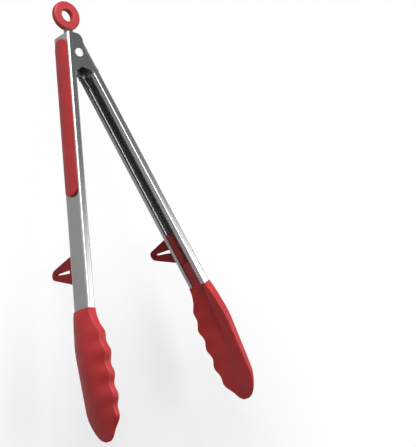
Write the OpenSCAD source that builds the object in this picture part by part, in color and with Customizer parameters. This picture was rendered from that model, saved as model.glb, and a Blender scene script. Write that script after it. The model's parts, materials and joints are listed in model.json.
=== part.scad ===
// Spring loaded kitchen tongs: two pressed steel arms on one rivet, with silicone heads, soft
// grips, clip-on stand feet and a pull ring that locks them shut. They lie open on their feet.

/* [Arms] */
// Outer width of each steel arm
arm_width = 18.4; // [16:0.2:22]
// Distance from the rivet's axis to the outer face of an arm's web
web_offset = 9; // [8.8:0.1:11]
// Depth of an arm's flanges below the hinge
flange_depth = 5.9; // [5:0.1:7]
// Width of the lips folded in along the flanges
lip_width = 4; // [2:0.2:5]
// Thickness of the sheet steel
sheet = 0.8; // [0.6:0.1:1]
// Outside radius of the folds
fold_radius = 1.5; // [1.1:0.1:2]
// Distance from the rivet's axis to the steel end of an arm
arm_reach = 193; // [185:1:230]
// Angle of each arm from the middle line, with the tongs open
half_opening = 14.8; // [12:0.1:17]
// Angle of each arm from the middle line, with the heads closed
half_closed = 1.3; // [1.2:0.1:2]

/* [Hinge] */
// Distance from the rivet's axis to the top edge of the outer arm
hinge_top = 15.5; // [13:0.5:18]
// How far the ears reach past the rivet's axis
ear_overlap = 4.2; // [3.5:0.1:5]
// Distance below the rivet's axis at which the ears start to narrow
ear_straight = 8.5; // [6:0.5:9.5]
// Distance below the rivet's axis at which the ears are as deep as the flanges
ear_end = 15; // [13:0.5:16]
// Diameter of the rivet's shank
rivet_d = 3.6; // [3:0.1:4]
// Diameter of the rivet's heads
rivet_head_d = 6.5; // [5.5:0.1:8]
// Thickness of the rivet's heads
rivet_head_t = 1.2; // [0.8:0.1:2]
// Outside diameter of the sleeve round the shank
sleeve_d = 4.8; // [4.6:0.1:5]
// Diameter of the spring wire
wire_d = 1.2; // [1:0.1:1.3]
// Number of turns in each of the spring's two coils
coil_turns = 3; // [2:1:3]
// Length of the spring's legs along the arms
leg_length = 26; // [22:1:40]

/* [Lock] */
// Thickness of the lock plate
plate_t = 1.5; // [1:0.1:1.8]
// How far the ring pulls out
lock_travel = 7; // [6.5:0.1:7.5]
// Lean of the lock plate from the middle line, with the tongs open
lock_lean = 10; // [6:0.5:12]
// Half the width of the lock plate's stem
stem_half = 3.7; // [3.5:0.1:3.8]
// Metal left between the slot in that stem and the crossbar
slot_margin = 2.9; // [2:0.1:3.5]
// Width of the crossbar at the foot of the lock plate
crossbar_width = 14.9; // [14.5:0.1:15.2]
// Depth of that crossbar
crossbar_depth = 2.6; // [2:0.1:3.5]
// Width of the upturned tip at each end of the crossbar
hook_t = 1.6; // [1.2:0.1:1.7]
// Height of those tips above the crossbar
hook_height = 2.3; // [2:0.1:2.4]
// Width of the tangs that the crossbar hooks behind
tang_width = 3; // [2.4:0.2:4]
// Outside diameter of the pull ring
ring_d = 23; // [20:0.5:28]
// Diameter of the ring's hole
ring_hole_d = 9.6; // [8:0.2:12]
// Thickness of the ring
ring_t = 5; // [4:0.2:6]
// Radius of the ring's rounded edges
ring_edge = 1.8; // [1:0.1:1.9]
// Distance from the rivet's axis to the middle of the ring, pushed in
ring_height = 32.6; // [31:0.2:40]

/* [Grips] */
// Length of the outer arm's grip
grip_length = 121; // [90:1:150]
// Width of each grip
grip_width = 15.8; // [12:0.2:16.4]
// Thickness of a grip along its middle
grip_t = 2.2; // [1.8:0.1:4]
// Radius of the crown across a grip
grip_crown = 19; // [17:1:40]
// Radius of a grip's corners
grip_corner = 7; // [3:0.5:7.5]
// Distance from the arm's top edge to the grip
grip_top_gap = 4; // [1:0.5:8]

/* [Stand feet] */
// Distance from the steel end of the arm to the middle of a foot's tip
foot_from_end = 33; // [32:1:60]
// Length of a foot where it leaves the arm
foot_root = 21; // [16:0.5:26]
// How far a foot stands out from the flange
foot_out = 24.6; // [18:0.2:30]
// How far a foot's tip is set towards the hinge from the middle of its root
foot_set = 1.8; // [0:0.2:4]
// Thickness of a foot
foot_t = 2; // [1.5:0.1:2.4]
// Radius of a foot's tip
foot_tip_r = 4; // [3:0.2:5]
// Width of the slot in a foot at its root
foot_slot = 3; // [2:0.2:5]
// Length of the clip inside the channel
clip_length = 24; // [20:0.5:30]

/* [Heads] */
// Length of a silicone head beyond the steel
head_length = 92; // [80:1:110]
// Distance from the middle of a head to its smooth edge, at its widest
head_half = 16.6; // [14:0.1:20]
// Distance from the middle of a head to the middle of the waves, at its widest
waved_half = 18; // [14:0.1:20]
// Half the width of a head at the steel
neck_half = 9.6; // [9.4:0.1:11]
// Radius of the bend of a head's back
back_bend = 219; // [190:1:280]
// Depth of the groove that runs on from the channel
groove_depth = 3; // [1:0.1:3.4]
// Distance from the middle of a head to the crease along that groove
groove_half = 5.6; // [4:0.1:6.5]
// Depth of a head's side at the steel
side_depth = 7; // [5:0.1:7.4]
// Height of the waves along one edge of a head
wave_height = 1.4; // [0:0.05:1.8]
// Length of one wave
wave_length = 15; // [10:0.2:18]
// Distance that the head's back stands above the steel
head_step = 1.4; // [0.6:0.1:2]
// Thickness of the blade inside a head
core_t = 1.8; // [1.2:0.1:2.2]
// Width of that blade
core_width = 12; // [8:0.5:14]
// Length of that blade inside the silicone
core_reach = 55; // [30:1:60]

/* [Hidden] */

// Running gap all round the rivet's shank
rivet_gap = 0.05;
// Gap between the outer and the inner ears
ear_gap = 0.2;
// Gap between parts that slide or lie loosely together
loose_gap = 0.1;
// Gap between the spring and what it turns on or leans on
spring_gap = 0.3;
// Gap between a tang and the hook behind it
lock_gap = 0.6;
// Gap between the web and the foot under it
foot_gap = 0.2;
// Gap between a foot's clip and the tang beside it in the channel
clip_gap = 0.3;
// Gap beside and under a tang, with the plate pulled out
hook_clear = 0.4;
// Overlap that makes joined shapes one solid
join = 0.01;
// Length by which a cutter runs past what it cuts
past = 2;

web_in = web_offset - sheet;
lip_out = web_offset - flange_depth;
half_width = arm_width / 2;
// The inner arm is narrower at the hinge and widens below its ears
inner_half = half_width - sheet - ear_gap;
neck_top = ear_end - 1;
neck_end = ear_end + 3;
inner_top = 6;
outer_corner = 5.5;
inner_corner = 4;

// Share of a rivet head's thickness that is a plain rim under its dome
rivet_rim = 0.4;

slot_r = sleeve_d / 2 + loose_gap;
crossbar_top = lock_travel + slot_r + slot_margin;
crossbar_corner = 1.2;
// How far the plate's stem reaches into the ring
stem_in_ring = 3;
// Place of the tangs, worked out with the plate pulled out
tang_out = crossbar_width / 2 - hook_t - lock_gap;
tang_foot = crossbar_top - lock_travel - hook_clear;
tang_top = crossbar_top - lock_travel - hook_height - hook_clear - sheet;
tang_blank = web_in - tang_out + tang_foot - tang_top;

coil_r = sleeve_d / 2 + spring_gap + wire_d / 2;
coil_pitch = wire_d + loose_gap;
coil_in = plate_t / 2 + spring_gap + wire_d;
leg_b = web_in - spring_gap - wire_d / 2;

// Both grips end at the same distance from the rivet, and the inner arm's starts lower
grip_end = grip_length - hinge_top + grip_top_gap;

foot_at = arm_reach - foot_from_end;
foot_y = half_width + foot_out;
foot_b = web_in - foot_gap - foot_t;
foot_mid = foot_at + foot_set;
// Distance from the flange to the foot's slot, and from the slot's end to the middle of the tip
foot_shoulder = 2.5;
foot_bridge = 1;
// Length of the tang that fills the channel between the clip and the steel's end
tang_length = foot_from_end - foot_set - clip_length / 2 - clip_gap;
// Chamfers of the clip that lie in the channel's folds, and the slant of its open side
clip_corner = 0.7;
clip_slant = 3.3;

// The head's back rises from the steel to the start of its bend
bend_start = 10;
bend_rise = 1;
bend_at = arm_reach + bend_start;
back_b = web_offset + head_step + bend_rise;
head_thick = back_b - lip_out;
head_end = arm_reach + head_length;
// The head's edges lean in from the channel's lips, and curl back up at the tip
rim_gap = 0.2;
rim_lean = 9.5;
rim_curl = 0.9;
// Distance from the steel to the crest of a wave
crest_at = 32.5;
// Shares of the head's length: full width, first and full wave, and start of the curl
widened = 0.33;
wave_from = 0.05;
waved = 0.2;
curling = 0.85;
// The same for each edge: where it starts to widen, where it starts to close, and how far it closes
smooth_from = 0;
smooth_closing = 0.785;
smooth_taper = 0.58;
waved_from = 0.06;
waved_closing = 0.745;
waved_taper = 0.7;
// Powers that set how fast a head widens from its neck, how it closes, and how blunt its tip is
widen_power = 1.45;
close_power = 1.6;
blunt_power = 10;
// Shares of the head's length: full depth of the groove, and where it starts to fade and ends
grooved = 0.1;
fading = 0.3;
faded = 0.62;
// Depth of the shallow dish across a head, of the flat beside its smooth edge, and of the least hollow
dish_depth = 1;
ledge_depth = 0.4;
least_hollow = 0.1;
// Run of the crease beside the groove, the run that it softens to where the groove ends, and the
// power of the slope from there to the waved edge
crease_run = 0.9;
dish_run = 7;
slope_power = 1.6;
// Radius of a head's edges, and how far its sides lean in
edge_r = 1.2;
side_lean = 0.6;
// Depth that a head's sides lose by the tip, and the most that they take of its thickness: along the
// head, and at its neck, where it carries on the channel's section
side_loss = 3.2;
side_share = 0.61;
neck_share = 0.89;
// Least width of the tip as a share of the head's, and least depth of its end
tip_share = 0.12;
tip_depth = 1.2;
// Depth of the blade under the head's back, and the length, thickness and corners of its root
core_depth = 2;
root_length = 6;
root_t = 2.2;
root_corner = 0.8;
// Flat left between the round corners at the end of the blade
blade_flat = 0.2;

// The tongs lie on the tips of both feet and the hinge end of the outer arm
foot_z = -foot_at * cos(half_opening) + (foot_b + foot_t / 2) * sin(half_opening);
rest_z = hinge_top * cos(half_opening) + (web_offset - fold_radius) * sin(half_opening);
rest_tilt = atan((foot_y - half_width) / (rest_z - foot_z));
foot_sweep = sqrt(pow(cos(rest_tilt), 2) + pow(sin(rest_tilt) * cos(half_opening), 2));
foot_drop = (foot_y - foot_tip_r) * cos(rest_tilt) + foot_z * sin(rest_tilt);
lift = foot_drop + foot_tip_r * foot_sweep;
ring_far = (ring_height * cos(lock_lean) + ring_d / 2) * cos(rest_tilt);
tip_far = head_end * cos(half_opening) * cos(rest_tilt);
middle = (ring_far - tip_far) / 2;

$fn = 64;

// Sets a part of the upright tongs down as they lie: the ring towards +Y, the heads towards -Y
module lay_down() {
    translate([0, -middle, lift]) rotate([-90 - rest_tilt, 0, 0]) children();
}

// The right arm's own frame: the rivet's axis on Y, +X outwards, the arm hanging along -Z
module on_right() {
    lay_down() rotate([0, -half_opening, 0]) children();
}

module on_left() {
    lay_down() rotate([0, half_opening, 0]) mirror([1, 0, 0]) children();
}

// The lock plate's frame: the rivet's axis on Y, the ring along +Z
module on_lock() {
    lay_down() rotate([0, lock_lean, 0]) children();
}

// Extrudes an outline seen along the rivet
module along_y(y0, y1) {
    translate([0, y1, 0]) rotate([90, 0, 0]) linear_extrude(y1 - y0) children();
}

// Extrudes an outline seen square to an arm's web
module along_x(x0, x1) {
    translate([x0, 0, 0]) rotate([90, 0, 90]) linear_extrude(x1 - x0) children();
}

// Extrudes a cross-section along an arm
module along_arm(a0, a1) {
    translate([0, 0, -a1]) linear_extrude(a1 - a0) children();
}

module box_outline(x0, y0, x1, y1) {
    translate([x0, y0]) square([x1 - x0, y1 - y0]);
}

module round_outline(x0, y0, x1, y1, r) {
    box_outline(x0 + r, y0, x1 - r, y1);
    box_outline(x0, y0 + r, x1, y1 - r);
    for (x = [x0 + r, x1 - r], y = [y0 + r, y1 - r]) translate([x, y]) circle(r);
}

function unit(v) = v / norm(v);

// Direction from c at which a line from p touches a circle of radius r, on the side given by 1 or -1
function touch_angle(p, c, r, side) =
    let (d = p - c)
    atan2(d[1], d[0]) + side * acos(r / norm(d));

function touch(p, c, r, side) =
    let (at = touch_angle(p, c, r, side))
    c + r * [cos(at), sin(at)];

// A pointed outline with a round tip at c, and its root from p above to q below
module taper_outline(p, q, c, r) {
    from = touch_angle(p, c, r, -1);
    to = touch_angle(q, c, r, 1);
    steps = 16;
    polygon([q, p, for (i = [0 : steps])
        let (at = from + (to - from) * i / steps)
        c + r * [cos(at), sin(at)]]);
}

/* Steel arms */

// Section of the folded channel: web, two flanges and two lips
module channel_section() {
    inner_r = fold_radius - sheet;
    difference() {
        round_outline(lip_out, -half_width, web_offset, half_width, fold_radius);
        round_outline(lip_out + sheet, sheet - half_width, web_in, half_width - sheet, inner_r);
        box_outline(lip_out - past, lip_width - half_width, lip_out + past, half_width - lip_width);
    }
}

// Side view of an ear, from its top down to the depth of the flanges
module ear_outline(top, corner) {
    box_outline(-ear_overlap, -ear_straight, web_offset, top - corner);
    box_outline(corner - ear_overlap, -ear_straight, web_offset, top);
    translate([corner - ear_overlap, top - corner]) circle(corner);
    polygon([[-ear_overlap, join - ear_straight], [web_offset, join - ear_straight],
             [web_offset, -neck_end - join], [lip_out, -neck_end - join], [lip_out, -ear_end]]);
}

// Tang pressed in from the web, turned down at its tip
module tang() {
    along_y(-tang_width / 2, tang_width / 2) {
        box_outline(tang_out - sheet, -tang_top - sheet, web_in + sheet / 2, -tang_top);
        box_outline(tang_out - sheet, -tang_foot, tang_out, -tang_top);
    }
}

// What is cut from an arm: the rivet hole, the window left by the tang and the slot for the foot
module arm_cuts() {
    window = tang_width / 2 + loose_gap * 2;
    along_y(-half_width - past, half_width + past) circle(rivet_d / 2 + rivet_gap);
    along_x(web_in - join, web_offset + past)
        box_outline(-window, -tang_top - sheet - tang_blank, window, -tang_top - sheet);
    along_y(half_width - sheet - past, half_width + past)
        box_outline(foot_b - loose_gap, -foot_mid - foot_root / 2 - loose_gap,
                    foot_b + foot_t + loose_gap, -foot_mid + foot_root / 2 + loose_gap);
}

module outer_hinge() {
    intersection() {
        along_y(-half_width, half_width) ear_outline(hinge_top, outer_corner);
        translate([0, 0, -neck_end - join]) linear_extrude(neck_end + hinge_top + past) difference() {
            round_outline(-3 * ear_overlap, -half_width, web_offset, half_width, fold_radius);
            round_outline(-4 * ear_overlap, sheet - half_width, web_in, half_width - sheet,
                          fold_radius - sheet);
        }
    }
}

// Plan of the inner arm at the hinge, narrow between the outer ears and full width below them
module neck_plan(inset) {
    narrow = inner_half - inset;
    wide = half_width - inset;
    polygon([[-narrow, hinge_top], [-narrow, -neck_top], [-wide, -neck_end], [-wide, -neck_end - past],
             [wide, -neck_end - past], [wide, -neck_end], [narrow, -neck_top], [narrow, hinge_top]]);
}

module inner_hinge() {
    intersection() {
        along_y(-half_width, half_width) ear_outline(inner_top, inner_corner);
        difference() {
            along_x(-3 * ear_overlap, web_offset) neck_plan(0);
            along_x(-4 * ear_overlap, web_in) neck_plan(sheet);
        }
    }
}

module arm() {
    difference() {
        union() {
            children();
            along_arm(neck_end, arm_reach) channel_section();
        }
        arm_cuts();
    }
    tang();
}

module left_arm() {
    color([0.72, 0.72, 0.73]) on_left() arm() outer_hinge();
}

module right_arm() {
    color([0.66, 0.66, 0.67]) on_right() arm() inner_hinge();
}

/* Hinge */

module pivot_rivet() {
    reach = half_width + rivet_head_t;
    color([0.86, 0.86, 0.87]) lay_down() {
        along_y(-reach + rivet_head_t / 2, reach - rivet_head_t / 2) circle(rivet_d / 2);
        for (side = [-90, 90]) rotate([side, 0, 0]) translate([0, 0, half_width]) rivet_head();
    }
}

// Low domed head: a disc under the cap of a sphere
module rivet_head() {
    rim = rivet_head_t * rivet_rim;
    cap = rivet_head_t - rim;
    ball = (pow(rivet_head_d / 2, 2) + cap * cap) / (2 * cap);
    cylinder(d = rivet_head_d, h = rim);
    translate([0, 0, rim]) intersection() {
        translate([0, 0, cap - ball]) sphere(ball, $fn = 96);
        cylinder(d = rivet_head_d + past, h = cap + past);
    }
}

module pivot_sleeve() {
    reach = inner_half - sheet - loose_gap;
    color([0.6, 0.6, 0.62]) on_lock() along_y(-reach, reach) difference() {
        circle(sleeve_d / 2);
        circle(rivet_d / 2 + rivet_gap);
    }
}

/* Double torsion spring, one wire: leg, coil, bridge, coil, leg */

// A point on a leg's end, in the plane square to the rivet
function leg_end(side) =
    side * [leg_length * sin(half_opening) + leg_b * cos(half_opening), 0]
    + [0, leg_b * sin(half_opening) - leg_length * cos(half_opening)];

lift_off_right = touch(leg_end(1), [0, 0], coil_r, 1);
coil_from = atan2(lift_off_right[1], lift_off_right[0]);
coil_sweep = 360 * coil_turns + 180 - 2 * coil_from;
coil_out = coil_in + coil_pitch * coil_sweep / 360;
coil_steps = 16 * coil_turns + 6;

// One half of the wire, from the leg on the inner arm to the bridge on the outer one
half_wire = [
    [leg_end(1)[0], coil_out, leg_end(1)[1]],
    for (i = [0 : coil_steps])
        let (at = coil_from + coil_sweep * i / coil_steps,
             y = coil_out + (coil_in - coil_out) * i / coil_steps)
        [coil_r * cos(at), y, coil_r * sin(at)],
    for (turn = [0 : 30 : 90])
        let (to_coil = unit([-coil_r * cos(coil_from), coil_r * sin(coil_from)] - leg_end(-1)),
             corner = leg_end(-1) + wire_d * (1 - sin(turn)) * to_coil)
        [corner[0], coil_in - wire_d * (1 - cos(turn)), corner[1]]
];
last = len(half_wire) - 1;
wire = [
    for (p = half_wire) p,
    for (i = [last : -1 : 0]) [half_wire[i][0], -half_wire[i][1], half_wire[i][2]]
];

function along(path, i) = unit(path[min(i + 1, len(path) - 1)] - path[max(i - 1, 0)]);
function square_to(v, t) = unit(v - (v * t) * t);

// Carries a direction along a path without twisting it
function carried(path, v, i = 0) =
    i == len(path) ? [] :
    let (u = square_to(v, along(path, i)))
    concat([u], carried(path, u, i + 1));

module round_wire(path, r, sides) {
    across = carried(path, [0, 1, 0]);
    points = [
        for (i = [0 : len(path) - 1], k = [0 : sides - 1])
            let (t = along(path, i), u = across[i], v = cross(t, u), at = 360 * k / sides)
            path[i] + r * (cos(at) * u + sin(at) * v)
    ];
    end = (len(path) - 1) * sides;
    faces = [
        [for (k = [0 : sides - 1]) k],
        for (i = [0 : len(path) - 2], k = [0 : sides - 1])
            let (a = i * sides + k, b = i * sides + (k + 1) % sides)
            each [[a, a + sides, b], [b, a + sides, b + sides]],
        [for (k = [sides - 1 : -1 : 0]) end + k]
    ];
    polyhedron(points, faces, convexity = 10);
}

module return_spring() {
    color([0.5, 0.5, 0.52]) lay_down() round_wire(wire, wire_d / 2, 10);
}

/* Lock plate and pull ring */

module lock_outline() {
    half = crossbar_width / 2;
    bar_foot = crossbar_top + crossbar_depth;
    difference() {
        union() {
            box_outline(-stem_half, -bar_foot, stem_half, ring_height - ring_d / 2 + stem_in_ring);
            round_outline(-half, -bar_foot, half, join - crossbar_top, crossbar_corner);
            for (side = [-1, 1]) translate([side * (half - hook_t / 2), 0])
                box_outline(-hook_t / 2, crossbar_corner - bar_foot,
                            hook_t / 2, hook_height - crossbar_top);
        }
        box_outline(-slot_r, -lock_travel, slot_r, 0);
        circle(slot_r);
        translate([0, -lock_travel]) circle(slot_r);
    }
}

module lock_blank() {
    along_y(-plate_t / 2, plate_t / 2) lock_outline();
}

module lock_plate() {
    color([0.75, 0.75, 0.76]) on_lock() lock_blank();
}

// Half of the ring's section: rounded edges, with a straight land inside the hole
module ring_section() {
    inner = ring_hole_d / 2;
    outer = ring_d / 2;
    land_edge = ring_edge * 0.6;
    half = ring_t / 2;
    box_outline(inner + land_edge, -half, outer - ring_edge, half);
    box_outline(inner, land_edge - half, inner + 2 * land_edge, half - land_edge);
    box_outline(outer - 2 * ring_edge, ring_edge - half, outer, half - ring_edge);
    for (y = [-1, 1]) {
        translate([inner + land_edge, y * (half - land_edge)]) circle(land_edge);
        translate([outer - ring_edge, y * (half - ring_edge)]) circle(ring_edge);
    }
}

module pull_ring() {
    color([0.78, 0.2, 0.22]) on_lock() difference() {
        translate([0, 0, ring_height]) rotate([90, 0, 0]) rotate_extrude($fn = 96) ring_section();
        lock_blank();
    }
}

/* Soft grips */

module grip(arm_top) {
    grip_top = arm_top - grip_top_gap;
    intersection() {
        along_x(web_offset, web_offset + grip_t)
            round_outline(-grip_width / 2, -grip_end, grip_width / 2, grip_top, grip_corner);
        translate([web_offset + grip_t - grip_crown, 0, -grip_end - past])
            cylinder(r = grip_crown, h = grip_top + grip_end + 2 * past, $fn = 128);
    }
}

module left_grip() {
    color([0.68, 0.2, 0.21]) on_left() grip(hinge_top);
}

module right_grip() {
    color([0.68, 0.2, 0.21]) on_right() grip(inner_top);
}

/* Stand feet: a slotted loop through the flange, with a clip inside the channel */

module foot() {
    root_y = half_width - sheet - loose_gap;
    slot_y = half_width + foot_shoulder;
    tip_y = foot_y - foot_tip_r;
    clip_in = lip_out + sheet + loose_gap;
    clip_out = web_in - loose_gap;
    lip_edge = half_width - lip_width;
    difference() {
        along_x(foot_b, foot_b + foot_t) {
            taper_outline([half_width, -foot_mid + foot_root / 2], [half_width, -foot_mid - foot_root / 2],
                          [tip_y, -foot_at], foot_tip_r);
            box_outline(root_y - past, -foot_mid - foot_root / 2,
                        half_width + join, -foot_mid + foot_root / 2);
        }
        along_x(foot_b - past, foot_b + foot_t + past)
            taper_outline([slot_y, -foot_mid + foot_slot / 2], [slot_y, -foot_mid - foot_slot / 2],
                          [tip_y - foot_bridge, -foot_at], foot_slot / 5);
    }
    along_arm(foot_mid - clip_length / 2, foot_mid + clip_length / 2)
        polygon([[clip_in, lip_edge], [clip_in, root_y - clip_corner], [clip_in + clip_corner, root_y],
                 [clip_out - clip_corner, root_y], [clip_out, root_y - clip_corner],
                 [clip_out, lip_edge - clip_slant]]);
}

module left_foot() {
    color([0.5, 0.2, 0.2]) on_left() foot();
}

module right_foot() {
    color([0.5, 0.2, 0.2]) on_right() foot();
}

/* Heads: a silicone scoop moulded over a blade whose tang fills the end of the channel */

// Distance of a head's back from the middle line, at distance a down the arm
function head_back(a) =
    a < bend_at ? back_b - bend_rise * pow((bend_at - a) / bend_start, 2) :
    back_b - back_bend + sqrt(pow(back_bend, 2) - pow(a - bend_at, 2));

// Distance of a head's edge from the middle line: straight, then curling up to the tip
function head_rim(a) =
    let (u = (a - arm_reach) / head_length, curl = max(0, (u - curling) / (1 - curling)))
    min(lip_out - rim_gap - rim_lean * u + rim_curl * curl * curl, head_back(a) - tip_depth);

// Rises smoothly from 0 at u = from to 1 at u = to
function ease(u, from, to) =
    let (t = min(1, max(0, (u - from) / (to - from))))
    t * t * (3 - 2 * t);

// Half the width of a head that is half wide at its widest: from a share of its length it widens
// from the neck, and from another it closes round the blunt tip
function head_edge(a, half, from, closing, taper) =
    let (u = (a - arm_reach) / head_length,
         open = min(1, max(0, (u - from) / (widened - from))),
         close = min(1, max(0, (u - closing) / (1 - closing))))
    (neck_half + (half - neck_half) * (1 - pow(1 - open, widen_power)))
    * max(tip_share, (1 - taper * pow(close, close_power)) * sqrt(1 - pow(close, blunt_power)));

function head_smooth(a) = head_edge(a, head_half, smooth_from, smooth_closing, smooth_taper);

function head_waved(a) =
    let (u = (a - arm_reach) / head_length,
         middle_w = head_edge(a, waved_half, waved_from, waved_closing, waved_taper),
         wave = wave_height * cos(360 * (a - arm_reach - crest_at) / wave_length))
    middle_w + wave * ease(u, wave_from, waved) * sqrt(middle_w / waved_half);

// Greatest depth of the hollow under a head's edges; at the steel it meets the face of the tang
function head_hollow(a) =
    let (u = (a - arm_reach) / head_length, open = ease(u, 0, grooved))
    least_hollow + (rim_gap + sheet + loose_gap - least_hollow) * (1 - open)
    + (head_back(a) - head_rim(a)) / head_thick
    * (dish_depth * ease(u, 0, widened) + groove_depth * open * (1 - ease(u, fading, faded)));

function quarter(r, steps) = [for (i = [0 : steps]) r * [cos(90 * i / steps), sin(90 * i / steps)]];

// Half of the outer section, from the edge to the shoulder: distances from the middle and depths
function head_side(w, depth, side, r) = [
    for (c = quarter(r, 3)) [w - r + c[1], r - c[0]],
    for (c = quarter(r, 2)) [w - side_lean * w / waved_half - r + c[0], side - r + c[1]]
];

// One station of the loft: over the back from the waved to the smooth edge, then back inside
function head_station(a) =
    let (u = (a - arm_reach) / head_length,
         rim = head_rim(a), depth = head_back(a) - rim,
         waved_w = head_waved(a), smooth_w = head_smooth(a),
         share = neck_share + (side_share - neck_share) * ease(u, 0, waved),
         side = min(side_depth - side_loss * u, share * depth),
         r = min(edge_r, smooth_w / 4, side / 3),
         out = head_side(waved_w, depth, side, r), back_out = head_side(smooth_w, depth, side, r),
         y1 = out[6][0], y0 = -back_out[6][0],
         crease = -min(groove_half, smooth_w / 2),
         run = crease_run + (dish_run - crease_run) * ease(u, fading, faded),
         foot = crease + min(run, smooth_w / 2),
         deep = head_hollow(a), ledge = min(ledge_depth, deep / 3))
    [
        for (p = out) [rim + p[1], p[0], -a],
        for (i = [1 : crown_steps - 1])
            let (t = 2 * i / crown_steps - 1)
            [rim + side + (depth - side) * (1 - t * t), (y1 + y0 - t * (y1 - y0)) / 2, -a],
        for (i = [6 : -1 : 0]) [rim + back_out[i][1], -back_out[i][0], -a],
        for (t = [0.08, 0.4, 0.7, 1])
            [rim + ledge * t, r - smooth_w + (crease - r + smooth_w) * t, -a],
        for (t = [0.35, 0.7, 1])
            [rim + ledge + (deep - ledge) * ease(t, 0, 1), crease + (foot - crease) * t, -a],
        for (i = [1 : slope_steps])
            let (t = i / (slope_steps + 0.4))
            [rim + deep * (1 - pow(t, slope_power)), foot + (waved_w - r - foot) * t, -a]
    ];

head_steps = 60;
crown_steps = 6;
slope_steps = 12;
head_loop = 38;
// Power that crowds the loft's stations towards the tip
crowding = 1.5;

// Closes one end of the loft with a band of triangles between the back and the hollow
function head_cap(from, flip) = [
    for (k = [0 : head_loop / 2 - 2])
        let (a = from + k, b = a + 1, d = from + head_loop - 1 - k, c = d - 1)
        each flip ? [[a, d, b], [b, d, c]] : [[a, b, d], [b, c, d]]
];

module head_loft() {
    points = [
        for (i = [0 : head_steps])
            let (u = i / head_steps, a = arm_reach + head_length * (1 - pow(1 - u, crowding)))
            each head_station(a)
    ];
    faces = [
        each head_cap(0, false),
        for (i = [0 : head_steps - 1], k = [0 : head_loop - 1])
            let (a = i * head_loop + k, b = i * head_loop + (k + 1) % head_loop)
            each [[a, a + head_loop, b], [b, a + head_loop, b + head_loop]],
        each head_cap(head_steps * head_loop, true)
    ];
    polyhedron(points, faces, convexity = 6);
}

// Blade inside a head, along the bend of its back, with a thick root at the steel
module blade() {
    outer_r = back_bend - core_depth;
    along_arm(arm_reach - past, arm_reach + root_length)
        round_outline(web_in - loose_gap - root_t, -core_width / 2,
                      web_in - loose_gap, core_width / 2, root_corner);
    intersection() {
        along_y(-core_width / 2, core_width / 2) translate([back_b - back_bend, -bend_at]) difference() {
            circle(outer_r, $fn = 720);
            circle(outer_r - core_t, $fn = 720);
        }
        along_x(-past, web_offset + past)
            round_outline(-core_width / 2, -arm_reach - core_reach, core_width / 2,
                          -arm_reach - past, (core_width - blade_flat) / 2);
    }
}

module core() {
    along_arm(arm_reach - tang_length, arm_reach)
        round_outline(lip_out + sheet + loose_gap, sheet + loose_gap - half_width,
                      web_in - loose_gap, half_width - sheet - loose_gap, fold_radius - sheet);
    blade();
}

module head() {
    difference() {
        head_loft();
        blade();
    }
}

// Both heads are one moulding, so the left one is the right one turned half round
module left_head() {
    color([0.66, 0.2, 0.21]) on_left() mirror([0, 1, 0]) head();
}

module right_head() {
    color([0.66, 0.2, 0.21]) on_right() head();
}

module left_core() {
    color([0.35, 0.12, 0.13]) on_left() core();
}

module right_core() {
    color([0.35, 0.12, 0.13]) on_right() core();
}

left_arm();
right_arm();
left_grip();
right_grip();
left_head();
right_head();
left_core();
right_core();
left_foot();
right_foot();
pivot_rivet();
pivot_sleeve();
return_spring();
lock_plate();
pull_ring();
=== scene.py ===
# Spring loaded kitchen tongs with silicone heads, lying open on their stand feet.
import json
import math

import bpy
from mathutils import Euler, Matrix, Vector


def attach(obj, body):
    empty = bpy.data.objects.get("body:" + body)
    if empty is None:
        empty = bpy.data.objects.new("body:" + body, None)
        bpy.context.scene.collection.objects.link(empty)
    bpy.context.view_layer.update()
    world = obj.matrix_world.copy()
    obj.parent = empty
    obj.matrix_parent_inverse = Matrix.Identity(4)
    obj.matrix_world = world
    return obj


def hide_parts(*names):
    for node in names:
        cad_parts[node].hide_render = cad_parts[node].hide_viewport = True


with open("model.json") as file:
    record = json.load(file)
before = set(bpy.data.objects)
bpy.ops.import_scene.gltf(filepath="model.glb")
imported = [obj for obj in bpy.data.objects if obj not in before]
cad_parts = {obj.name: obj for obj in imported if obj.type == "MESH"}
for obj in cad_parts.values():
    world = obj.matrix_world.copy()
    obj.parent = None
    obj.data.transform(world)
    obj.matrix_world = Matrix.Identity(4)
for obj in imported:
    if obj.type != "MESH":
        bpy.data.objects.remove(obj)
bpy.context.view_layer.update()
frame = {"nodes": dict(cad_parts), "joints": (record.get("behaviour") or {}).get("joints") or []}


# ---------------------------------------------------------------- Camera
# A long lens from above the outer arm's side, so that the near flanges and the right arm's
# mouth both show. It is placed from the rivet, on which the whole object turns.
hinge_joint = next(joint for joint in frame["joints"] if joint["name"] == "arm_hinge")
hinge = Vector(hinge_joint["pos_m"])
camera_from_hinge = Vector((-0.67016, -0.15326, 0.82571))
camera_turn = (11.138, -41.863, -15.393)

camera = bpy.data.objects.new("camera", bpy.data.cameras.new("camera"))
bpy.context.scene.collection.objects.link(camera)
camera.location = hinge + camera_from_hinge
camera.rotation_euler = Euler([math.radians(angle) for angle in camera_turn])
camera.data.lens = 124.8
camera.data.sensor_width = 36
camera.data.sensor_fit = "HORIZONTAL"
camera.data.clip_end = 10
bpy.context.scene.camera = camera


# ---------------------------------------------------------------- Floor and light
# A pale sheet under the tongs, which fades to white round them. One large soft lamp stands beyond
# the hinge, a card on the right shows in the flanges, a strip is only ever mirrored, and the sky
# gives a low even fill.
MM = 0.001
sheet_side = 6
sheet_drop = 0.2 * MM
# The sheet's own tone, and the one that the camera sees. Gloss sees it that share of the way there
sheet_grey = (0.20, 0.20, 0.20)
sheet_white = (1.0, 1.0, 1.0)
share_in_gloss = 0.70
# Distances from a place below the heads between which the sheet fades, and the share that is white
fade_middle = (0, -0.22, 0)
fade_from, fade_to = 0.06, 0.22
white_inside, white_outside = 0.45, 0.97
sky_fill = (0.12, 0.12, 0.12)
sky_in_gloss = (0.21, 0.21, 0.21)
sky_seen = (1, 1, 1)


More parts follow.
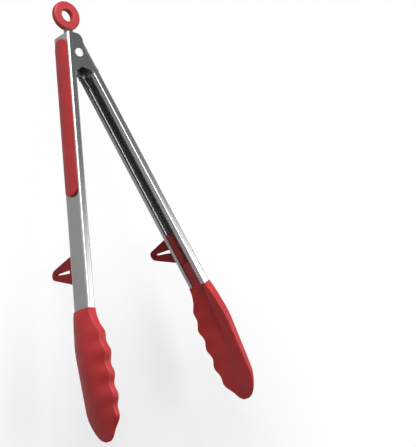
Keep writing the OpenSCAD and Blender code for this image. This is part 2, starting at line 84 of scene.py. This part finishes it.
class Wire:
    """A value inside a material. Sums on it add Math nodes, and node() adds any other node."""

    def __init__(self, tree, socket=None):
        self.tree = tree
        self.socket = socket

    def node(self, kind, settings=(), output=0, **inputs):
        """Adds a node. An input is named by its socket, or by _ and its number."""
        made = self.tree.nodes.new(kind)
        for name, value in dict(settings).items():
            setattr(made, name, value)
        for name, value in inputs.items():
            socket = made.inputs[int(name[1:])] if name[1:].isdigit() else made.inputs[name]
            if isinstance(value, Wire):
                self.tree.links.new(value.socket, socket)
            else:
                socket.default_value = value
        return Wire(self.tree, made.outputs[output])

    def math(self, operation, first, second=0.0):
        return self.node("ShaderNodeMath", {"operation": operation}, _0=first, _1=second)

    def __add__(self, other):
        return self.math("ADD", self, other)

    def __radd__(self, other):
        return self.math("ADD", other, self)

    def __mul__(self, other):
        return self.math("MULTIPLY", self, other)

    def __rmul__(self, other):
        return self.math("MULTIPLY", other, self)

    def __lt__(self, other):
        return self.math("LESS_THAN", self, other)

    def __gt__(self, other):
        return self.math("GREATER_THAN", self, other)

    def __abs__(self):
        return self.math("ABSOLUTE", self)

    def step(self, low, high, start=0.0, end=1.0):
        """Goes smoothly from start to end as the value goes from low to high."""
        return self.node("ShaderNodeMapRange", {"interpolation_type": "SMOOTHSTEP"},
                         _0=self, _1=low, _2=high, _3=start, _4=end)

    def colour(self, first, second):
        """Mixes two colours by the value: 0 gives the first."""
        return self.node("ShaderNodeMix", {"data_type": "RGBA"}, output=2, _0=self,
                         _6=first if isinstance(first, Wire) else (*first, 1),
                         _7=second if isinstance(second, Wire) else (*second, 1))

    def vector(self, operation, other, output=0):
        return self.node("ShaderNodeVectorMath", {"operation": operation}, output=output,
                         _0=self, _1=tuple(other))

    def dot(self, direction):
        return self.vector("DOT_PRODUCT", direction, output=1)

    def stretched(self, x, y, z):
        """A place made of three values."""
        return self.node("ShaderNodeCombineXYZ", X=x, Y=y, Z=z)

    def grain(self, scale, detail=2.0):
        """Noise of that scale at this place."""
        return self.node("ShaderNodeTexNoise", Vector=self, Scale=scale, Detail=detail)

    def into(self, shader, socket):
        self.tree.links.new(self.socket, shader.inputs[socket])

    def bump(self, shader, strength, distance):
        self.node("ShaderNodeBump", Height=self, Strength=strength,
                  Distance=distance).into(shader, "Normal")


def new_material(name, base, roughness, metallic=0.0, specular=0.5):
    """A principled material; returns it, its shader and the place on the object as a Wire."""
    material = bpy.data.materials.new(name)
    material.use_nodes = True
    tree = material.node_tree
    shader = tree.nodes["Principled BSDF"]
    shader.inputs["Base Color"].default_value = (*base, 1)
    shader.inputs["Roughness"].default_value = roughness
    shader.inputs["Metallic"].default_value = metallic
    shader.inputs["Specular IOR Level"].default_value = specular
    place = Wire(tree).node("ShaderNodeTexCoord", output="Object")
    return material, shader, place


def is_ray(tree, kind):
    """1 for rays of that kind and 0 for all others."""
    return Wire(tree).node("ShaderNodeLightPath", output=f"Is {kind} Ray")


bpy.ops.object.select_all(action="DESELECT")
bpy.ops.mesh.primitive_plane_add(size=sheet_side, location=(0, 0, -sheet_drop))
floor = bpy.context.object
floor.name = "floor"
bpy.ops.object.transform_apply(location=True, scale=True)
material, shader, place = new_material("pale_sheet", sheet_grey, 0.9, specular=0.2)
seen, mirrored = is_ray(place.tree, "Camera"), is_ray(place.tree, "Glossy")
tone = (seen + mirrored * share_in_gloss).colour(sheet_grey, sheet_white)
tone.into(shader, "Base Color")
from_middle = place.vector("DISTANCE", fade_middle, output=1)
white_out = from_middle.step(fade_from, fade_to, white_inside, white_outside)
lit_sheet = Wire(place.tree, shader.outputs["BSDF"])
plain_white = Wire(place.tree).node("ShaderNodeEmission")
faded = place.node("ShaderNodeMixShader", _0=seen * white_out, _1=lit_sheet, _2=plain_white)
faded.into(place.tree.nodes["Material Output"], "Surface")
floor.data.materials.append(material)

world = bpy.data.worlds.new("studio")
bpy.context.scene.world = world
world.use_nodes = True
sky = world.node_tree.nodes["Background"]
seen, mirrored = is_ray(world.node_tree, "Camera"), is_ray(world.node_tree, "Glossy")
seen.colour(mirrored.colour(sky_fill, sky_in_gloss), sky_seen).into(sky, "Color")


def soft_lamp(name, at, size, power):
    """A rectangular lamp that faces the middle of the floor."""
    lamp = bpy.data.objects.new(name, bpy.data.lights.new(name, "AREA"))
    bpy.context.scene.collection.objects.link(lamp)
    lamp.data.shape = "RECTANGLE"
    lamp.data.size, lamp.data.size_y = size
    lamp.data.energy = power
    lamp.location = at
    lamp.rotation_euler = (-Vector(at)).to_track_quat("-Z", "Y").to_euler()
    return lamp


soft_lamp("key", at=(-0.31, 0.98, 0.66), size=(1.4, 1.2), power=17.5)
soft_lamp("right_card", at=(0.51, -0.18, 0.72), size=(0.75, 0.48), power=3.3)
strip = soft_lamp("strip", at=(-0.42, 0.06, 0.90), size=(0.6, 0.36), power=3.0)
strip.visible_diffuse = False


# ---------------------------------------------------------------- Steel arms
# Two channels folded from 0.8 mm stainless sheet, brushed along their length outside and rougher
# inside, with painted shade inside and painted highlights on the folds. The inner arm's ears are
# narrower, so that they sit between the outer arm's.
along_rivet = Vector(hinge_joint["axis"]).normalized()
sideways = Vector((1, 0, 0))
to_ring = sideways.cross(along_rivet).normalized()
half_opening = math.radians(14.8)
arm_sign = {"left": -1, "right": 1}
arm_body = {"left": "outer_arm", "right": "inner_arm"}
sheet_corner = 0.12 * MM


def arm_axes(side):
    """Directions down an arm and out through its web."""
    aside = arm_sign[side] * sideways
    down = aside * math.sin(half_opening) - to_ring * math.cos(half_opening)
    out = aside * math.cos(half_opening) + to_ring * math.sin(half_opening)
    return down, out


def joined_copy(node, name):
    """A copy of a CAD node with its loose triangles joined up."""
    piece = bpy.data.objects.new(name, frame["nodes"][node].data.copy())
    bpy.context.scene.collection.objects.link(piece)
    bpy.ops.object.select_all(action="DESELECT")
    bpy.context.view_layer.objects.active = piece
    piece.select_set(True)
    piece.data.materials.clear()
    bpy.ops.mesh.customdata_custom_splitnormals_clear()
    bpy.ops.object.mode_set(mode="EDIT")
    bpy.ops.mesh.select_all(action="SELECT")
    bpy.ops.mesh.remove_doubles(threshold=0.002 * MM)
    bpy.ops.object.mode_set(mode="OBJECT")
    return piece


def apply(piece, kind, **settings):
    """Gives a piece a modifier and applies it."""
    modifier = piece.modifiers.new(kind.lower(), kind)
    for name, value in settings.items():
        setattr(modifier, name, value)
    bpy.context.view_layer.objects.active = piece
    bpy.ops.object.modifier_apply(modifier=modifier.name)


def eased(node, name, radius, segments=3):
    """A copy of a CAD node with its flat faces made whole and its corners rounded."""
    piece = joined_copy(node, name)
    bpy.ops.object.mode_set(mode="EDIT")
    bpy.ops.mesh.select_all(action="SELECT")
    bpy.ops.mesh.dissolve_limited(angle_limit=math.radians(1))
    bpy.ops.object.mode_set(mode="OBJECT")
    apply(piece, "BEVEL", width=radius, segments=segments, limit_method="ANGLE",
          angle_limit=math.radians(35))
    bpy.ops.object.shade_smooth_by_angle(angle=math.radians(40))
    apply(piece, "WEIGHTED_NORMAL", keep_sharp=True)
    return piece


def stands_for(piece, node, material, side):
    """Puts a piece in the place of its CAD node, on that side's arm."""
    piece.data.materials.append(material)
    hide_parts(node)
    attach(piece, arm_body[side])


def brushed_steel(side):
    """Stainless sheet with fine streaks down the arm, painted highlights on the folds and painted
    shade inside.
    """
    down, out = arm_axes(side)
    # The brushed tone; the folds get a paler painted highlight and the inside a darker painted
    # shade
    brushed = (0.46, 0.46, 0.465)
    painted_fold_highlight = (0.74, 0.74, 0.74)
    inside_shade_dark, inside_shade_pale = (0.12, 0.12, 0.12), (0.30, 0.30, 0.30)
    material, shader, place = new_material(side + "_arm_steel", brushed, 0.26, metallic=1.0)
    local = place.vector("SUBTRACT", hinge)
    # Place on the arm: a down it from the rivet, b out towards its web, y from its middle plane
    a, b, y = local.dot(down), local.dot(out), abs(local.dot(along_rivet))

    # How often the grain changes in a metre, along the arm and across it
    streak_along, streak_across = 14, 1100
    band_along, band_across = 9, 420
    streaks = place.stretched(a * streak_along, b * streak_across, y * streak_across)
    streaks = streaks.grain(1.0, detail=3.0)
    bands = place.stretched(a * band_along, b * band_across, y * band_across).grain(1.0)

    # The channel's inside, which gets painted shade, ends within the web, the flanges and the
    # lips, which start below the ears. The inner arm has a narrower neck
    web_skin, flange_skin, neck_skin = 8.6 * MM, 8.8 * MM, 7.8 * MM
    lip_skin, ears_end = 3.5 * MM, 16 * MM
    neck_top, neck_end = 14 * MM, 18 * MM
    necked = a.step(neck_top, neck_end, neck_skin, flange_skin)
    flange = necked if side == "right" else flange_skin
    off_the_lips = (b > lip_skin) + (a < ears_end) > 0.5
    inside = (b < web_skin) * (y < flange) * off_the_lips

    # The folds along the web, and below the ears those along the lips, which get a painted
    # highlight
    web_fold_b, web_fold_y = 7.5 * MM, 7.6 * MM
    lip_fold_b, lip_fold_y = 4.7 * MM, 8.0 * MM
    web_fold = (b > web_fold_b) * (y > web_fold_y)
    lip_fold = (b < lip_fold_b) * (y > lip_fold_y) * (a > ears_end)

    # Painted shade inside the channel, varied by random darker and paler bands
    painted_inside_shade = bands.step(0.35, 0.65).colour(inside_shade_dark, inside_shade_pale)
    # The folds take a paler base colour as a painted highlight
    tone = (web_fold + lip_fold).colour(inside.colour(brushed, painted_inside_shade), painted_fold_highlight)
    tone = tone.node("ShaderNodeVectorMath", {"operation": "SCALE"}, _0=tone,
                     Scale=0.94 + streaks * 0.12)
    tone.into(shader, "Base Color")
    (0.20 + streaks * 0.08 + inside * 0.12).into(shader, "Roughness")
    return material


for side in arm_body:
    arm = eased(side + "_arm", side + "_channel", sheet_corner, segments=2)
    stands_for(arm, side + "_arm", brushed_steel(side), side)


# ---------------------------------------------------------------- Rivet and sleeve
# The rivet is bright steel with low domed heads, closed over the outer ears; the sleeve on its
# shank is plain steel tube, on which the lock plate slides.
def plain_steel(name, base, roughness):
    """Steel with a faint uneven polish."""
    bright, worn = (base,) * 3, (base * 0.92,) * 3
    material, shader, place = new_material(name, bright, roughness, metallic=1.0)
    marks = place.grain(900.0, detail=3.0)
    marks.step(0.3, 0.7).colour(worn, bright).into(shader, "Base Color")
    (marks * 0.08 + roughness).into(shader, "Roughness")
    marks.bump(shader, 0.04, 0.1 * MM)
    return material


def dress(node, material):
    """Gives a CAD node its finish."""
    frame["nodes"][node].data.materials.clear()
    frame["nodes"][node].data.materials.append(material)


dress("pivot_rivet", plain_steel("rivet_steel", 0.97, 0.6))
dress("pivot_sleeve", plain_steel("sleeve_steel", 0.5, 0.3))


# ---------------------------------------------------------------- Return spring
# One spring steel wire wound as two coils round the sleeve. Its bridge presses the outer arm's
# web. Its legs press the inner arm's, and turn with it, each with a bit of the coils' first turn.
wire_r = 0.6 * MM
coil_r = 3.3 * MM
# Places along the rivet, from its middle, of each coil's inner and outer turn
coil_in, coil_out = 2.25 * MM, 6.63 * MM
# Where a leg ends at the inner arm's web, across and up from the rivet; the bridge mirrors it
leg_end = (13.7 * MM, -23.27 * MM)
# How far nearer the middle the bridge's corners lie than the coils' inner turns
bridge_bend = 1.2 * MM
# Angles round the coils: where a leg comes off, the whole winding, the leg's share, and one step
lift_off, whole_sweep, leg_sweep, coil_step = 23.5, 1213, 34, 12
# A leg is a touch thinner, so that it hides inside the coil where the two overlap
leg_r = wire_r * 0.97
wire_steel = plain_steel("spring_steel", 0.42, 0.28)


def coil_points(start, stop, end):
    """The coil between two angles of its sweep, each as x, z and y; end is that of the rivet."""
    steps = max(2, round((stop - start) / coil_step))
    for i in range(steps + 1):
        swept = start + (stop - start) * i / steps
        turned = math.radians(lift_off + swept)
        y = coil_out + (coil_in - coil_out) * swept / whole_sweep
        yield coil_r * math.cos(turned), coil_r * math.sin(turned), end * y


def bent_wire(name, points, radius, body):
    """Round wire through points given from the rivet's middle."""
    data = bpy.data.curves.new(name, "CURVE")
    data.dimensions = "3D"
    data.bevel_depth = radius
    data.bevel_resolution = 3
    data.use_fill_caps = True
    spline = data.splines.new("POLY")
    spline.points.add(len(points) - 1)
    for point, (x, z, y) in zip(spline.points, points):
        point.co = (*(hinge + sideways * x + to_ring * z + along_rivet * y), 1)
    piece = bpy.data.objects.new(name, data)
    bpy.context.scene.collection.objects.link(piece)
    bpy.ops.object.select_all(action="DESELECT")
    bpy.context.view_layer.objects.active = piece
    piece.select_set(True)
    bpy.ops.object.convert(target="MESH")
    piece = bpy.context.object
    bpy.ops.object.shade_smooth_by_angle(angle=math.radians(40))
    piece.data.materials.append(wire_steel)
    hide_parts("return_spring")
    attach(piece, body)


bridge_corner = (-leg_end[0], leg_end[1], coil_in - bridge_bend)
half_wire = [*coil_points(0, whole_sweep, 1), bridge_corner]
other_half = [(x, z, -y) for x, z, y in reversed(half_wire)]
bent_wire("spring_coils", half_wire + other_half, wire_r, "outer_arm")
for end, name in ((1, "far"), (-1, "near")):
    leg = [(*leg_end, end * coil_out), *coil_points(0, leg_sweep, end)]
    bent_wire("spring_leg_" + name, leg, leg_r, "inner_arm")


# ---------------------------------------------------------------- Lock plate and pull ring
# A stamped stainless plate that slides on the sleeve, with a smooth glossy ring moulded on its
# end. Pulled out by the ring, its crossbar hooks behind the tangs in both arms.
def moulded(name, base, roughness, specular=0.4):
    """Red moulded rubber or plastic: a fine skin, and slow changes of tone and gloss."""
    material, shader, place = new_material(name, base, roughness, specular=specular)
    clouds = place.grain(55.0)
    darker, paler = ([channel * share for channel in base] for share in (0.93, 1.07))
    clouds.step(0.3, 0.7).colour(darker, paler).into(shader, "Base Color")
    (roughness - 0.03 + clouds * 0.06).into(shader, "Roughness")
    place.grain(2400.0).bump(shader, 0.1, 0.1 * MM)
    return material


dress("lock_plate", plain_steel("plate_steel", 0.36, 0.3))
dress("pull_ring", moulded("ring_plastic", (0.57, 0.054, 0.057), 0.38))


# ---------------------------------------------------------------- Soft grips
# Pads of soft rubber bonded to the arms' webs, crowned across and rounded at the edges, with a
# matt skin.
grip_edge = 0.45 * MM
grip_rubber = moulded("grip_rubber", (0.54, 0.036, 0.039), 0.42)
for side in arm_body:
    grip = eased(side + "_grip", side + "_grip_pad", grip_edge)
    stands_for(grip, side + "_grip", grip_rubber, side)


# ---------------------------------------------------------------- Stand feet
# Slotted loops of dark red nylon, each moulded in one with the clip that holds it in the channel.
# The open tongs rest on them, with the heads clear of the table.
foot_edge = 0.3 * MM
foot_nylon = moulded("foot_nylon", (0.33, 0.022, 0.023), 0.55, specular=0.2)
for side in arm_body:
    foot = eased(side + "_foot", side + "_stand", foot_edge, segments=2)
    stands_for(foot, side + "_foot", foot_nylon, side)


# ---------------------------------------------------------------- Heads and the blades in them
# Thick red silicone moulded over a nylon blade. One long edge is waved, the inside is scooped,
# and a groove runs on from the channel, where the blade's tang fills the arm's end.
blade_edge = 0.25 * MM
core_nylon = moulded("core_nylon", (0.46, 0.050, 0.056), 0.5)
silicone = moulded("silicone", (0.61, 0.042, 0.046), 0.46, specular=0.38)
# Within these distances of its tip, a head is smoothed and has no sharp edges
blunt_end, round_tip = 1.4 * MM, 6 * MM


def soft_head(node, name, down):
    """A copy of a head, rounded over but for its rim and the edges of its groove."""
    head = joined_copy(node, name)
    reach = [vertex.co.dot(down) for vertex in head.data.vertices]
    tip = max(reach)
    bpy.ops.object.mode_set(mode="EDIT")
    bpy.ops.mesh.select_all(action="SELECT")
    bpy.ops.mesh.tris_convert_to_quads()
    bpy.ops.mesh.select_all(action="DESELECT")
    bpy.ops.object.mode_set(mode="OBJECT")
    for vertex in head.data.vertices:
        vertex.select = reach[vertex.index] > tip - blunt_end
    bpy.ops.object.mode_set(mode="EDIT")
    bpy.ops.mesh.vertices_smooth(factor=0.5, repeat=10)
    bpy.ops.mesh.select_all(action="DESELECT")
    bpy.ops.mesh.select_mode(type="EDGE")
    bpy.ops.mesh.edges_select_sharp(sharpness=math.radians(22))
    bpy.ops.object.mode_set(mode="OBJECT")
    for edge in head.data.edges:
        ends = [head.data.vertices[v].co.dot(down) for v in edge.vertices]
        edge.select = edge.select and max(ends) < tip - round_tip
    bpy.ops.object.mode_set(mode="EDIT")
    bpy.ops.transform.edge_crease(value=1)
    bpy.ops.object.mode_set(mode="OBJECT")
    apply(head, "SUBSURF", levels=1, render_levels=1)
    bpy.ops.object.shade_smooth_by_angle(angle=math.radians(50))
    return head


for side in arm_body:
    core = eased(side + "_core", side + "_blade", blade_edge, segments=2)
    stands_for(core, side + "_core", core_nylon, side)
    down, out = arm_axes(side)
    head = soft_head(side + "_head", side + "_scoop", down)
    stands_for(head, side + "_head", silicone, side)


# ---------------------------------------------------------------- Colour view
# The standard view transform.
bpy.context.scene.view_settings.view_transform = "Standard"
